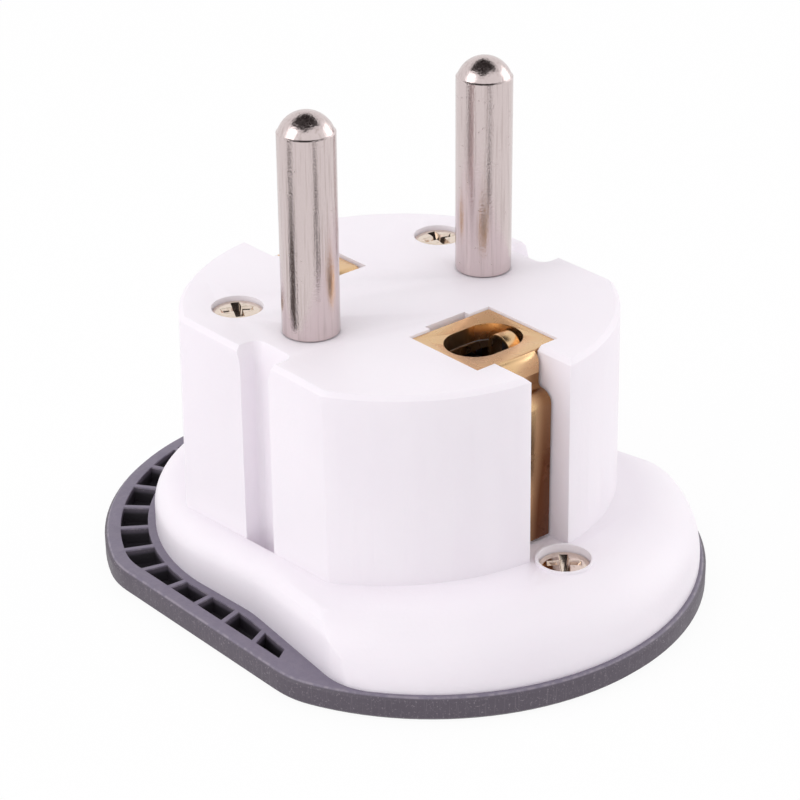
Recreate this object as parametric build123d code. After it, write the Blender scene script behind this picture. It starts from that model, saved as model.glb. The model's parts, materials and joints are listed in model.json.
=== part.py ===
from build123d import *

import math
import os

# Plug adapter: an earthed plug with two round pins on one side and a socket on the other.
# It stands on its socket face with the pins up. All lengths are in millimetres.
# The Z axis runs up from the middle of the socket face, and X runs along the line of the pins.

# Heights, counted up from the socket face
RIM_HEIGHT = 2.15
FLANGE_HEIGHT = 4.85
FLANGE_FALL = 0.05
FACE_Z = 24.55

# Socket cover outline: two round lobes cut off by straight sides
COVER_LOBE_RADIUS = 23.6
COVER_HALF_WIDTH = 22.3
COVER_CORNER = 8.0
COVER_EDGE = 0.35
LOBE_OFFSET = 4.0

# Ribbed channel in the cover's rim
RIM_WALL = 1.4
CHANNEL_WALL = 0.7
CHANNEL_FLOOR = 0.65
RIB_THICKNESS = 0.45
RIB_PITCH = 10.0
RIB_COUNT = 24
CHANNEL_START = -32.0

# White flange outline
FLANGE_BACK_RADIUS = 18.6
FLANGE_BACK_Y = 4.85
FLANGE_FRONT_RADIUS = 23.2
FLANGE_FRONT_Y = -3.8
FLANGE_NECK_X = 18.25
FLANGE_NECK_Y = -2.2
FLANGE_SHOULDER_X = 19.95
FLANGE_SHOULDER_RADIUS = 6.0
FLANGE_NECK_RADIUS = 12.0
FLANGE_EDGE = 2.4
FLANGE_FRONT_EDGE = 5.2
FLANGE_WALL = 1.8
FLANGE_ROOF = 2.7

# Round plug body with its two flats
BODY_RADIUS = 18.45
BODY_DRAFT = 0.6
BODY_FLAT = 16.0
BODY_WALL = 1.85
FLAT_WALL = 1.6
FACE_WALL = 2.0
FACE_BEVEL = 0.4

# Guide grooves in the flats
GUIDE_FRONT_Y = -2.5
GUIDE_BACK_Y = 1.2
GUIDE_FLOOR = 14.2
GUIDE_WALL = 1.1
GUIDE_CORNER = 0.5
GUIDE_LEAD_DEPTH = 1.4
GUIDE_LEAD_WIDTH = 0.5

# Earth grooves at the front and the back
EARTH_GROOVE_WIDTH = 4.3
EARTH_GROOVE_WALL = 1.1

# Plug pins
PIN_SPACING = 19.0
PIN_DIAMETER = 4.8
PIN_LENGTH = 19.0
PIN_TIP_HEIGHT = 1.6
PIN_TIP_EDGE = 0.12
PIN_HOLE_GAP = 0.1
PIN_NECK_DEPTH = 0.4
PIN_NECK_RISE = 0.1
COLLAR_WIDTH = 0.45
COLLAR_HEIGHT = 1.0
TAIL_RADIUS = 1.5
TAIL_HEAD_RADIUS = 2.0
TAIL_HEAD_HEIGHT = 0.7
TAIL_GAP = 0.05

# Line contacts and what holds them on the pins
CONTACT_THICKNESS = 0.8
CONTACT_WIDTH = 5.6
CONTACT_INSET = 0.2
LEAF_HALF_SPAN = 3.9
LEAF_PINCH = 2.75
LEAF_FLARE = 4.0
LEAF_BEND_Z = 15.0
LEAF_PINCH_Z = 9.5
LEAF_END_Z = 5.0
LEAF_BEND_RADIUS = 1.0
CLIP_THICKNESS = 0.4
CLIP_WIDTH = 4.4
WASHER_RADIUS = 2.8
WASHER_THICKNESS = 0.5

# Brass earth strips
EARTH_THICKNESS = 0.7
EARTH_WIDTH = 3.8
EARTH_BEND = 0.75
EARTH_SUNK = 0.2
EARTH_LEAF_DEPTH = 2.0
EARTH_STEM_DEPTH = 3.5
EARTH_STEP_DEPTH = 3.3
EARTH_LEAF_GAP = 0.25
EARTH_FIT = 0.1
EARTH_TAB_END = 0.7

# Window and plate round the hole for a socket's own earth pin
WINDOW_HALF_WIDTH = 4.4
WINDOW_LENGTH = 8.23
WINDOW_INSET = 0.45
PLATE_TAB_GAP = 0.12
EARTH_HOLE_PLACE = 4.1
EARTH_HOLE_LENGTH = 7.0
EARTH_HOLE_WIDTH = 5.0
EARTH_COLLAR_DEPTH = 1.4
EARTH_COLLAR_WALL = 0.45
BACK_TAB_GAP = 0.4

# Spring in the earth pin's hole
PIN_SPRING_THICKNESS = 0.35
PIN_SPRING_WIDTH = 1.3
PIN_SPRING_HALF_SPAN = 1.15
PIN_SPRING_CROWN = 0.12
PIN_SPRING_LENGTH = 6.5
PIN_SPRING_SUNK = 0.15

# Earth bridge and the socket's earth contact
BRIDGE_THICKNESS = 0.8
BRIDGE_WIDTH = 6.4
BRIDGE_MARGIN = 1.0
EARTH_CONTACT_WIDTH = 4.6
EARTH_CONTACT_GAP = 0.4
RIVET_RADIUS = 1.0
RIVET_HEAD_RADIUS = 1.7
RIVET_HEAD_HEIGHT = 0.5

# Socket openings in the cover
LINE_SLOT_INNER = 5.5
LINE_SLOT_OUTER = 12.0
LINE_SLOT_HEIGHT = 5.1
LINE_SLOT_CORNER = 0.6
BLADE_X = 6.35
BLADE_WIDTH = 1.9
BLADE_HEIGHT = 7.3
EARTH_SOCKET_WIDTH = 4.7
EARTH_SOCKET_LENGTH = 4.9
SLOT_LEAD = 0.35

# Inner contact holder
HOLDER_PLATE = 2.0
HOLDER_GAP = 0.2
HOLDER_WALL = 0.9
HOLDER_WALL_TOP = 18.6
HOLDER_SLOT_GAP = 0.25
HOLDER_INNER_FACE = 5.7
HOLDER_SIDE_GAP = 0.25
HOLDER_POST_GAP = 0.4

# Locating wall of the cover inside the flange
SPIGOT_HEIGHT = 1.9
SPIGOT_WALL = 1.0
SPIGOT_GAP = 0.2

# Screws and their posts
FLANGE_SCREW_Y = -20.3
SCREW_HEAD_RADIUS = 2.1
SCREW_HEAD_HEIGHT = 1.25
SCREW_DOME = 0.75
SCREW_RADIUS = 1.4
SCREW_SUNK = 0.2
SCREW_POINT = 1.2
SCREW_TIP_RADIUS = 0.2
FACE_SCREW_LENGTH = 16.0
FLANGE_SCREW_LENGTH = 5.6
CROSS_LENGTH = 2.3
CROSS_WIDTH = 0.5
CROSS_DEPTH = 0.8
SCREW_HOLE_GAP = 0.15
COUNTERBORE_GAP = 0.1
LIP_WIDTH = 0.2
LIP_HEIGHT = 0.25
POST_RADIUS = 2.6
POST_SPLIT_Z = 15.0
POST_GAP = 0.2
POST_SIDE_GAP = 0.35
POST_INSET = 0.44
POST_FLAT_GAP = 0.6
THREAD_GAP = 0.05
SCREW_END_GAP = 0.1

FLANGE_MIDDLE_TOP = RIM_HEIGHT + FLANGE_HEIGHT
ROOM_TOP = FLANGE_MIDDLE_TOP - FLANGE_ROOF
GUIDE_FOOT = ROOM_TOP + GUIDE_WALL
FLANGE_SCREW_TOP = FLANGE_MIDDLE_TOP - FLANGE_FALL * FLANGE_SCREW_Y
INNER_TOP = FACE_Z - FACE_WALL
PIN_X = PIN_SPACING / 2
PIN_NECK_RADIUS = PIN_DIAMETER / 2 - PIN_NECK_DEPTH
COLLAR_RADIUS = PIN_DIAMETER / 2 + COLLAR_WIDTH
COLLAR_Z = INNER_TOP - COLLAR_HEIGHT
CLIP_Z = COLLAR_Z - CLIP_THICKNESS
CONTACT_Z = CLIP_Z - CONTACT_THICKNESS
WASHER_Z = CONTACT_Z - WASHER_THICKNESS
TAIL_END_Z = WASHER_Z - TAIL_HEAD_HEIGHT
BRIDGE_Z = INNER_TOP - BRIDGE_THICKNESS
EARTH_BASE_Z = BRIDGE_Z - CONTACT_THICKNESS
EARTH_LEVEL = FACE_Z - EARTH_SUNK - EARTH_THICKNESS / 2
EARTH_POCKET = EARTH_SUNK + EARTH_THICKNESS
COUNTERBORE_RADIUS = SCREW_HEAD_RADIUS + COUNTERBORE_GAP
SEAT_DEPTH = SCREW_SUNK + SCREW_HEAD_HEIGHT
CAVITY_RADIUS = BODY_RADIUS - BODY_WALL
GUIDE_Y = (GUIDE_FRONT_Y + GUIDE_BACK_Y) / 2
CONTACT_X = LINE_SLOT_OUTER - CONTACT_INSET - CONTACT_WIDTH / 2
CONTACT_SIDE = LEAF_HALF_SPAN + CONTACT_THICKNESS / 2 + CLIP_THICKNESS
HOLDER_SIDE_FACE = CONTACT_SIDE + HOLDER_SIDE_GAP
FACE_SCREW_Y = CONTACT_SIDE + POST_SIDE_GAP + POST_RADIUS
FACE_SCREW_REACH = CAVITY_RADIUS - POST_INSET - POST_RADIUS
POST_FLAT_X = BODY_FLAT - FLAT_WALL - POST_FLAT_GAP - POST_RADIUS
FACE_SCREW_X = min(POST_FLAT_X, math.sqrt(FACE_SCREW_REACH**2 - FACE_SCREW_Y**2))
HOLDER_SIDE_END = FACE_SCREW_X - POST_RADIUS - HOLDER_POST_GAP
EARTH_LEAF_OUT = BODY_RADIUS - EARTH_LEAF_DEPTH
EARTH_STEM_OUT = BODY_RADIUS - EARTH_STEM_DEPTH
EARTH_CAVITY_FACE = EARTH_STEM_OUT - EARTH_THICKNESS - EARTH_FIT - EARTH_GROOVE_WALL
EARTH_SOCKET_Y = EARTH_CAVITY_FACE - EARTH_CONTACT_GAP - EARTH_CONTACT_WIDTH / 2
BACK_TAB_Y = EARTH_SOCKET_Y - EARTH_CONTACT_WIDTH / 2 - BACK_TAB_GAP - EARTH_THICKNESS / 2
WINDOW_FRONT_Y = WINDOW_INSET - EARTH_STEM_OUT
WINDOW_BACK_Y = WINDOW_FRONT_Y + WINDOW_LENGTH
PLATE_TAB_Y = WINDOW_BACK_Y + PLATE_TAB_GAP
EARTH_HOLE_Y = WINDOW_FRONT_Y + EARTH_HOLE_PLACE
UP = (Align.CENTER, Align.CENTER, Align.MIN)
DOWN = (Align.CENTER, Align.CENTER, Align.MAX)
OUTWARD = (Align.MIN, Align.CENTER, Align.MIN)


def upright(radius, low, high, x=0.0, y=0.0):
    """A round bar between two heights."""
    return Pos(x, y, low) * Cylinder(radius, high - low, align=UP)


def block(x0, x1, y0, y1, low, high):
    """A plain box given by its corners."""
    middle = Pos((x0 + x1) / 2, (y0 + y1) / 2, low)
    return middle * Box(x1 - x0, y1 - y0, high - low, align=UP)


def raised(sketch, low, high):
    """A flat outline drawn up between two heights."""
    return extrude(Pos(0, 0, low) * sketch, amount=high - low)


def bent_strip(points, radius, thickness, width, plane=Plane.YZ):
    """Sheet metal bent along a line, centred on its plane."""
    line = FilletPolyline(*points, radius=radius)
    return extrude(plane * trace(line, thickness), amount=width / 2, both=True)


def cover_outline(inset=0.0):
    """Two lobes joined by straight sides, all moved inwards by the inset."""
    radius = COVER_LOBE_RADIUS - inset
    lobes = Pos(0, LOBE_OFFSET) * Circle(radius) + Pos(0, -LOBE_OFFSET) * Circle(radius)
    lobes += Rectangle(2 * radius, 2 * LOBE_OFFSET)
    shape = lobes & Rectangle(2 * (COVER_HALF_WIDTH - inset), 4 * radius)
    return fillet(shape.vertices(), COVER_CORNER - inset)


def flange_outline():
    """A small round back, a narrow neck at the sides and a larger round front."""
    back = FLANGE_BACK_RADIUS
    front = FLANGE_FRONT_RADIUS
    shoulder_y = FLANGE_FRONT_Y - math.sqrt(front**2 - FLANGE_SHOULDER_X**2)
    right = [(back, FLANGE_BACK_Y), (FLANGE_NECK_X, FLANGE_NECK_Y), (FLANGE_SHOULDER_X, shoulder_y)]
    left = [(-x, y) for x, y in right]
    lines = [
        ThreePointArc(left[0], (0, FLANGE_BACK_Y + back), right[0]),
        Line(right[0], right[1]),
        Line(right[1], right[2]),
        ThreePointArc(right[2], (0, FLANGE_FRONT_Y - front), left[2]),
        Line(left[2], left[1]),
        Line(left[1], left[0]),
    ]
    face = Sketch() + make_face(lines)
    corners = face.vertices().group_by(Axis.Y)
    face = fillet(corners[0], FLANGE_SHOULDER_RADIUS)
    corners = [v for v in face.vertices() if abs(v.Y - FLANGE_NECK_Y) < 0.01]
    return fillet(corners, FLANGE_NECK_RADIUS)


def cavity_outline(gap=0.0):
    """The room inside the round body, less the gap to what fills it."""
    shape = Circle(CAVITY_RADIUS - gap) & Rectangle(2 * (BODY_FLAT - FLAT_WALL - gap), 2 * BODY_RADIUS)
    guide_face = GUIDE_FLOOR - GUIDE_WALL - gap
    guide_width = GUIDE_BACK_Y - GUIDE_FRONT_Y + 2 * (GUIDE_WALL + gap)
    earth_face = EARTH_CAVITY_FACE - gap
    earth_side = EARTH_GROOVE_WIDTH / 2 + EARTH_GROOVE_WALL + gap
    for side in (-1, 1):
        shape -= Pos(side * (guide_face + BODY_RADIUS / 2), GUIDE_Y) * Rectangle(BODY_RADIUS, guide_width)
        shape -= Pos(0, side * (earth_face + BODY_RADIUS / 2)) * Rectangle(2 * earth_side, BODY_RADIUS)
    return shape


def line_slot(grow=0.0):
    """Opening for a round pin or a flat blade, on the +X side."""
    length = LINE_SLOT_OUTER - LINE_SLOT_INNER + 2 * grow
    middle = (LINE_SLOT_OUTER + LINE_SLOT_INNER) / 2
    slot = Pos(middle, 0) * RectangleRounded(length, LINE_SLOT_HEIGHT + 2 * grow, LINE_SLOT_CORNER)
    blade = Pos(BLADE_X, 0) * Rectangle(BLADE_WIDTH + 2 * grow, BLADE_HEIGHT + 2 * grow)
    return slot + blade


def earth_slot(grow=0.0):
    """Opening for an earth pin."""
    width = EARTH_SOCKET_WIDTH + 2 * grow
    length = EARTH_SOCKET_LENGTH + 2 * grow
    return Pos(0, EARTH_SOCKET_Y) * RectangleRounded(width, length, LINE_SLOT_CORNER)


def socket_slots(grow=0.0):
    """All openings of the socket face."""
    slot = line_slot(grow)
    return slot + mirror(slot, about=Plane.YZ) + earth_slot(grow)


def face_screw_spots():
    """Places of the two screws in the pin face."""
    return [(side * FACE_SCREW_X, FACE_SCREW_Y) for side in (-1, 1)]


def channel():
    """Curved trench in the rim, crossed by ribs that point at the back lobe's centre."""
    outer = cover_outline(RIM_WALL)
    ring = outer - offset(flange_outline(), CHANNEL_WALL)
    reach = 2 * COVER_LOBE_RADIUS
    start = math.radians(CHANNEL_START)
    low_y = reach * math.sin(start)
    side_x = reach * math.cos(start)
    below = Polyline((0, 0), (side_x, low_y), (side_x, -reach), (-side_x, -reach), (-side_x, low_y), (0, 0))
    ring -= Pos(0, LOBE_OFFSET) * make_face(below)
    for index in range(RIB_COUNT):
        angle = 90 + (index - (RIB_COUNT - 1) / 2) * RIB_PITCH
        rib = Pos(reach / 2, 0) * Rectangle(reach, RIB_THICKNESS)
        ring -= Pos(0, LOBE_OFFSET) * Rot(0, 0, angle) * rib
    return ring


def socket_cover():
    """Dark base plate with the socket openings, the ribbed rim and the screw posts."""
    body = raised(cover_outline(), 0, RIM_HEIGHT)
    body = chamfer(body.faces().sort_by(Axis.Z)[-1].edges(), COVER_EDGE)
    body = chamfer(body.faces().sort_by(Axis.Z)[0].edges(), COVER_EDGE)
    body -= raised(channel(), CHANNEL_FLOOR, RIM_HEIGHT)
    wall = offset(flange_outline(), -FLANGE_WALL - SPIGOT_GAP)
    spigot = wall - offset(wall, -SPIGOT_WALL)
    body += raised(spigot, RIM_HEIGHT, RIM_HEIGHT + SPIGOT_HEIGHT)
    for x, y in face_screw_spots():
        body += upright(POST_RADIUS, RIM_HEIGHT, POST_SPLIT_Z, x, y)
        low = FACE_Z - SEAT_DEPTH - FACE_SCREW_LENGTH - SCREW_END_GAP
        body -= upright(SCREW_RADIUS + THREAD_GAP, low, POST_SPLIT_Z, x, y)
    body += upright(POST_RADIUS, RIM_HEIGHT, ROOM_TOP, 0, FLANGE_SCREW_Y)
    low = FLANGE_SCREW_TOP - SEAT_DEPTH - FLANGE_SCREW_LENGTH - SCREW_END_GAP
    body -= upright(SCREW_RADIUS + THREAD_GAP, low, ROOM_TOP, 0, FLANGE_SCREW_Y)
    body -= raised(socket_slots(), 0, RIM_HEIGHT)
    lead = extrude(socket_slots(SLOT_LEAD), amount=SLOT_LEAD, taper=45)
    return body - lead


def plug_body_outer():
    """Tapered round body with flats, grooves and a bevelled pin face."""
    spread = (FACE_Z - RIM_HEIGHT) * math.tan(math.radians(BODY_DRAFT))
    height = FACE_Z - RIM_HEIGHT
    body = Pos(0, 0, RIM_HEIGHT) * Cone(BODY_RADIUS + spread, BODY_RADIUS, height, align=UP)
    body &= block(-BODY_FLAT, BODY_FLAT, -2 * BODY_RADIUS, 2 * BODY_RADIUS, 0, FACE_Z)
    guide = guide_profile()
    guides = guide + mirror(guide, about=Plane.YZ)
    body -= raised(guides, GUIDE_FOOT, FACE_Z)
    half = EARTH_GROOVE_WIDTH / 2
    stem = EARTH_STEM_OUT - EARTH_THICKNESS - EARTH_FIT
    leaf = EARTH_LEAF_OUT - EARTH_THICKNESS - EARTH_FIT
    step_z = FACE_Z - EARTH_STEP_DEPTH - EARTH_THICKNESS - EARTH_FIT
    for side in (-1, 1):
        near, far = sorted((side * stem, side * 2 * BODY_RADIUS))
        body -= block(-half, half, near, far, step_z, FACE_Z)
        near, far = sorted((side * leaf, side * 2 * BODY_RADIUS))
        body -= block(-half, half, near, far, ROOM_TOP, FACE_Z)
    body = chamfer(body.faces().sort_by(Axis.Z)[-1].edges(), FACE_BEVEL)
    lead_low = FACE_Z - GUIDE_LEAD_DEPTH
    angle = math.degrees(math.atan2(GUIDE_LEAD_WIDTH, GUIDE_LEAD_DEPTH))
    for profile in (guide, mirror(guide, about=Plane.YZ)):
        body -= extrude(Pos(0, 0, lead_low) * profile, amount=GUIDE_LEAD_DEPTH, taper=-angle)
    return body


def guide_profile():
    """Plan of one guide groove, open towards +X."""
    length = 2 * BODY_FLAT - GUIDE_FLOOR
    middle = GUIDE_FLOOR + length / 2
    return Pos(middle, GUIDE_Y) * RectangleRounded(length, GUIDE_BACK_Y - GUIDE_FRONT_Y, GUIDE_CORNER)


def earth_plate_pockets():
    """Sunk places for the earth plate at the front and the earth strip at the back."""
    low = FACE_Z - EARTH_POCKET
    half = EARTH_GROOVE_WIDTH / 2
    window = block(-WINDOW_HALF_WIDTH, WINDOW_HALF_WIDTH, WINDOW_FRONT_Y, WINDOW_BACK_Y, low, FACE_Z)
    front_tab = PLATE_TAB_Y + EARTH_THICKNESS / 2 + EARTH_FIT
    back_tab = BACK_TAB_Y - EARTH_THICKNESS / 2 - EARTH_FIT
    pockets = window + block(-half, half, -EARTH_STEM_OUT, front_tab, low, FACE_Z)
    pockets += block(-half, half, back_tab, EARTH_STEM_OUT, low, FACE_Z)
    for y in (PLATE_TAB_Y, BACK_TAB_Y):
        reach = EARTH_THICKNESS / 2 + EARTH_FIT
        pockets += block(-half, half, y - reach, y + reach, INNER_TOP, FACE_Z)
    return pockets + raised(earth_hole(EARTH_COLLAR_WALL + EARTH_FIT), INNER_TOP, FACE_Z)


def earth_hole(grow=0.0):
    """Rounded hole that takes a socket's earth pin."""
    length = EARTH_HOLE_LENGTH + 2 * grow
    width = EARTH_HOLE_WIDTH + 2 * grow
    return Pos(0, EARTH_HOLE_Y) * SlotOverall(length, width)


def sloped_slab(outline, low, rounding):
    """An outline drawn up to the flange's top, which falls towards the back, with its edge rounded."""
    slab = raised(outline, low, FACE_Z)
    fall = math.degrees(math.atan(FLANGE_FALL))
    reach = 4 * outline.bounding_box().diagonal
    slab -= Pos(0, 0, FLANGE_MIDDLE_TOP) * Rot(-fall, 0, 0) * Box(reach, reach, FACE_Z, align=UP)
    return fillet(slab.faces().sort_by(Axis.Z)[-1].edges(), rounding)


def flange_outer():
    """Flange with a tight edge at the sides and the back and a fuller one round the front."""
    radius = FLANGE_FRONT_RADIUS
    front = Pos(0, FLANGE_FRONT_Y) * Circle(radius)
    front += Pos(0, FLANGE_FRONT_Y + radius) * Rectangle(2 * radius, 2 * radius)
    flange = sloped_slab(flange_outline(), RIM_HEIGHT, FLANGE_EDGE)
    flange &= sloped_slab(front, -FACE_Z, FLANGE_FRONT_EDGE)
    guide = guide_profile() & Rectangle(2 * BODY_FLAT, 2 * BODY_FLAT)
    return flange - raised(guide + mirror(guide, about=Plane.YZ), GUIDE_FOOT, FACE_Z)


def housing():
    """White moulding: hollow plug body standing on a hollow flange."""
    shell = flange_outer() + plug_body_outer()
    lip_top = FLANGE_SCREW_TOP + LIP_HEIGHT
    shell += upright(COUNTERBORE_RADIUS + LIP_WIDTH, FLANGE_MIDDLE_TOP, lip_top, 0, FLANGE_SCREW_Y)
    shell -= raised(offset(flange_outline(), -FLANGE_WALL), RIM_HEIGHT, ROOM_TOP)
    shell -= raised(cavity_outline(), RIM_HEIGHT, INNER_TOP)
    for x, y in face_screw_spots():
        shell += upright(POST_RADIUS, POST_SPLIT_Z, INNER_TOP, x, y)
        shell -= upright(SCREW_RADIUS + SCREW_HOLE_GAP, POST_SPLIT_Z, FACE_Z, x, y)
        shell -= upright(COUNTERBORE_RADIUS, FACE_Z - SEAT_DEPTH, FACE_Z, x, y)
    shell -= upright(SCREW_RADIUS + SCREW_HOLE_GAP, RIM_HEIGHT, FLANGE_SCREW_TOP, 0, FLANGE_SCREW_Y)
    shell -= upright(COUNTERBORE_RADIUS, FLANGE_SCREW_TOP - SEAT_DEPTH, lip_top, 0, FLANGE_SCREW_Y)
    for side in (-1, 1):
        shell -= upright(PIN_NECK_RADIUS + PIN_HOLE_GAP, INNER_TOP, FACE_Z, side * PIN_X)
    shell -= earth_strip(-1, PLATE_TAB_Y, EARTH_FIT) + earth_strip(1, BACK_TAB_Y, EARTH_FIT)
    return shell - earth_plate_pockets()


def plug_pin(x):
    """Solid round pin with a domed end, a neck in the pin face, a collar and a riveted tail."""
    radius = PIN_DIAMETER / 2
    tip = FACE_Z + PIN_LENGTH
    shoulder = tip - PIN_TIP_HEIGHT
    rim = radius - PIN_TIP_EDGE
    bulge = (rim**2 + PIN_TIP_HEIGHT**2) / (2 * PIN_TIP_HEIGHT)
    half_turn = math.atan2(rim, bulge - PIN_TIP_HEIGHT) / 2
    middle = (bulge * math.sin(half_turn), tip - bulge + bulge * math.cos(half_turn))
    outline = [
        Polyline(
            (0, tip),
            (0, TAIL_END_Z),
            (TAIL_HEAD_RADIUS, TAIL_END_Z),
            (TAIL_HEAD_RADIUS, WASHER_Z),
            (TAIL_RADIUS, WASHER_Z),
            (TAIL_RADIUS, COLLAR_Z),
            (COLLAR_RADIUS, COLLAR_Z),
            (COLLAR_RADIUS, INNER_TOP),
            (PIN_NECK_RADIUS, INNER_TOP),
            (PIN_NECK_RADIUS, FACE_Z + PIN_NECK_RISE),
            (radius, FACE_Z + PIN_NECK_RISE),
            (radius, shoulder - PIN_TIP_EDGE),
            (rim, shoulder),
        ),
        ThreePointArc((rim, shoulder), middle, (0, tip)),
    ]
    return Pos(x, 0) * revolve(Plane.XZ * make_face(outline), Axis.Z)


def tail_hole(side):
    """Clearance round the tail of a pin."""
    return upright(TAIL_RADIUS + TAIL_GAP, WASHER_Z, COLLAR_Z, side * PIN_X)


def sprung_leaves(base_middle):
    """Points of two leaves that hang from a base and pinch in towards each other."""
    left = [
        (-LEAF_FLARE, LEAF_END_Z),
        (-LEAF_PINCH, LEAF_PINCH_Z),
        (-LEAF_HALF_SPAN, LEAF_BEND_Z),
        (-LEAF_HALF_SPAN, base_middle),
    ]
    return left + [(-y, z) for y, z in reversed(left)]


def line_contact(side):
    """Brass contact hung on a pin's tail, with a leaf on each side of the socket opening."""
    points = sprung_leaves(CONTACT_Z + CONTACT_THICKNESS / 2)
    shape = bent_strip(points, LEAF_BEND_RADIUS, CONTACT_THICKNESS, CONTACT_WIDTH)
    return Pos(side * CONTACT_X, 0) * shape - tail_hole(side)


def contact_clip(side):
    """Steel clip that presses the leaves of a contact together."""
    reach = LEAF_HALF_SPAN + CONTACT_THICKNESS / 2 + CLIP_THICKNESS / 2
    top = CLIP_Z + CLIP_THICKNESS / 2
    low = LEAF_BEND_Z + LEAF_BEND_RADIUS
    points = [(-reach, low), (-reach, top), (reach, top), (reach, low)]
    radius = LEAF_BEND_RADIUS + CONTACT_THICKNESS / 2 + CLIP_THICKNESS / 2
    shape = bent_strip(points, radius, CLIP_THICKNESS, CLIP_WIDTH)
    return Pos(side * CONTACT_X, 0) * shape - tail_hole(side)


def pin_washer(side):
    """Washer under the riveted head of a pin's tail."""
    disc = upright(WASHER_RADIUS, WASHER_Z, CONTACT_Z, side * PIN_X)
    return disc - tail_hole(side)


def earth_strip(side, tab_y, grow=0.0):
    """Brass strip over the pin face and down an earth groove, or the room for it when grown."""
    stem = EARTH_STEM_OUT - EARTH_THICKNESS / 2
    leaf = EARTH_LEAF_OUT - EARTH_THICKNESS / 2
    step_z = FACE_Z - EARTH_STEP_DEPTH - EARTH_THICKNESS / 2
    points = [
        (tab_y, BRIDGE_Z - EARTH_TAB_END),
        (tab_y, EARTH_LEVEL),
        (side * stem, EARTH_LEVEL),
        (side * stem, step_z),
        (side * leaf, step_z),
        (side * leaf, FLANGE_MIDDLE_TOP - side * FLANGE_FALL * BODY_RADIUS + EARTH_LEAF_GAP),
    ]
    return bent_strip(points, EARTH_BEND, EARTH_THICKNESS + 2 * grow, EARTH_WIDTH + 2 * grow)


def front_earth_contact():
    """Front earth strip, one piece with the plate round the earth pin's hole."""
    low = FACE_Z - EARTH_POCKET
    high = FACE_Z - EARTH_SUNK
    half = WINDOW_HALF_WIDTH - EARTH_FIT
    plate = block(-half, half, WINDOW_FRONT_Y + EARTH_FIT, WINDOW_BACK_Y - EARTH_FIT, low, high)
    collar = raised(earth_hole(EARTH_COLLAR_WALL), high - EARTH_COLLAR_DEPTH, high)
    strip = earth_strip(-1, PLATE_TAB_Y)
    return strip + plate + collar - raised(earth_hole(), 0, FACE_Z)


def back_earth_contact():
    """Back earth strip."""
    return earth_strip(1, BACK_TAB_Y)


def earth_pin_spring():
    """Arched spring at the end of the earth pin's hole."""
    top = FACE_Z - EARTH_SUNK - PIN_SPRING_SUNK - PIN_SPRING_THICKNESS / 2
    low = top - PIN_SPRING_LENGTH
    reach = PIN_SPRING_HALF_SPAN
    near = EARTH_HOLE_Y - reach
    far = EARTH_HOLE_Y + reach
    points = [(near, low), (near, top), (far, top), (far, low)]
    bend = reach - PIN_SPRING_CROWN / 2
    shape = bent_strip(points, bend, PIN_SPRING_THICKNESS, PIN_SPRING_WIDTH)
    end = EARTH_HOLE_LENGTH / 2 - EARTH_HOLE_WIDTH / 2
    chord = math.sqrt((EARTH_HOLE_WIDTH / 2) ** 2 - (reach + PIN_SPRING_THICKNESS / 2) ** 2)
    return Pos(end + chord - EARTH_FIT - PIN_SPRING_WIDTH / 2, 0) * shape


def earth_bridge():
    """Brass bar under the pin face that joins both earth strips to the socket's earth contact."""
    front = PLATE_TAB_Y - EARTH_THICKNESS / 2 - BRIDGE_MARGIN
    back = EARTH_SOCKET_Y + EARTH_CONTACT_WIDTH / 2
    bar = block(-BRIDGE_WIDTH / 2, BRIDGE_WIDTH / 2, front, back, BRIDGE_Z, INNER_TOP)
    half = EARTH_WIDTH / 2 + EARTH_FIT
    reach = EARTH_THICKNESS / 2 + EARTH_FIT / 2
    for y in (PLATE_TAB_Y, BACK_TAB_Y):
        bar -= block(-half, half, y - reach, y + reach, BRIDGE_Z, INNER_TOP)
    return bar - upright(RIVET_RADIUS + TAIL_GAP, BRIDGE_Z, INNER_TOP, 0, EARTH_SOCKET_Y)


def earth_socket_contact():
    """Contact for the earth pin of a plug in the socket."""
    points = sprung_leaves(EARTH_BASE_Z + CONTACT_THICKNESS / 2)
    shape = bent_strip(points, LEAF_BEND_RADIUS, CONTACT_THICKNESS, EARTH_CONTACT_WIDTH, Plane.XZ)
    hole = upright(RIVET_RADIUS + TAIL_GAP, EARTH_BASE_Z, BRIDGE_Z, 0, EARTH_SOCKET_Y)
    return Pos(0, EARTH_SOCKET_Y) * shape - hole


def earth_rivet():
    """Rivet through the earth contact and the bridge."""
    shank = upright(RIVET_RADIUS, EARTH_BASE_Z, INNER_TOP, 0, EARTH_SOCKET_Y)
    head_z = EARTH_BASE_Z - RIVET_HEAD_HEIGHT
    return shank + upright(RIVET_HEAD_RADIUS, head_z, EARTH_BASE_Z, 0, EARTH_SOCKET_Y)


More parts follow.
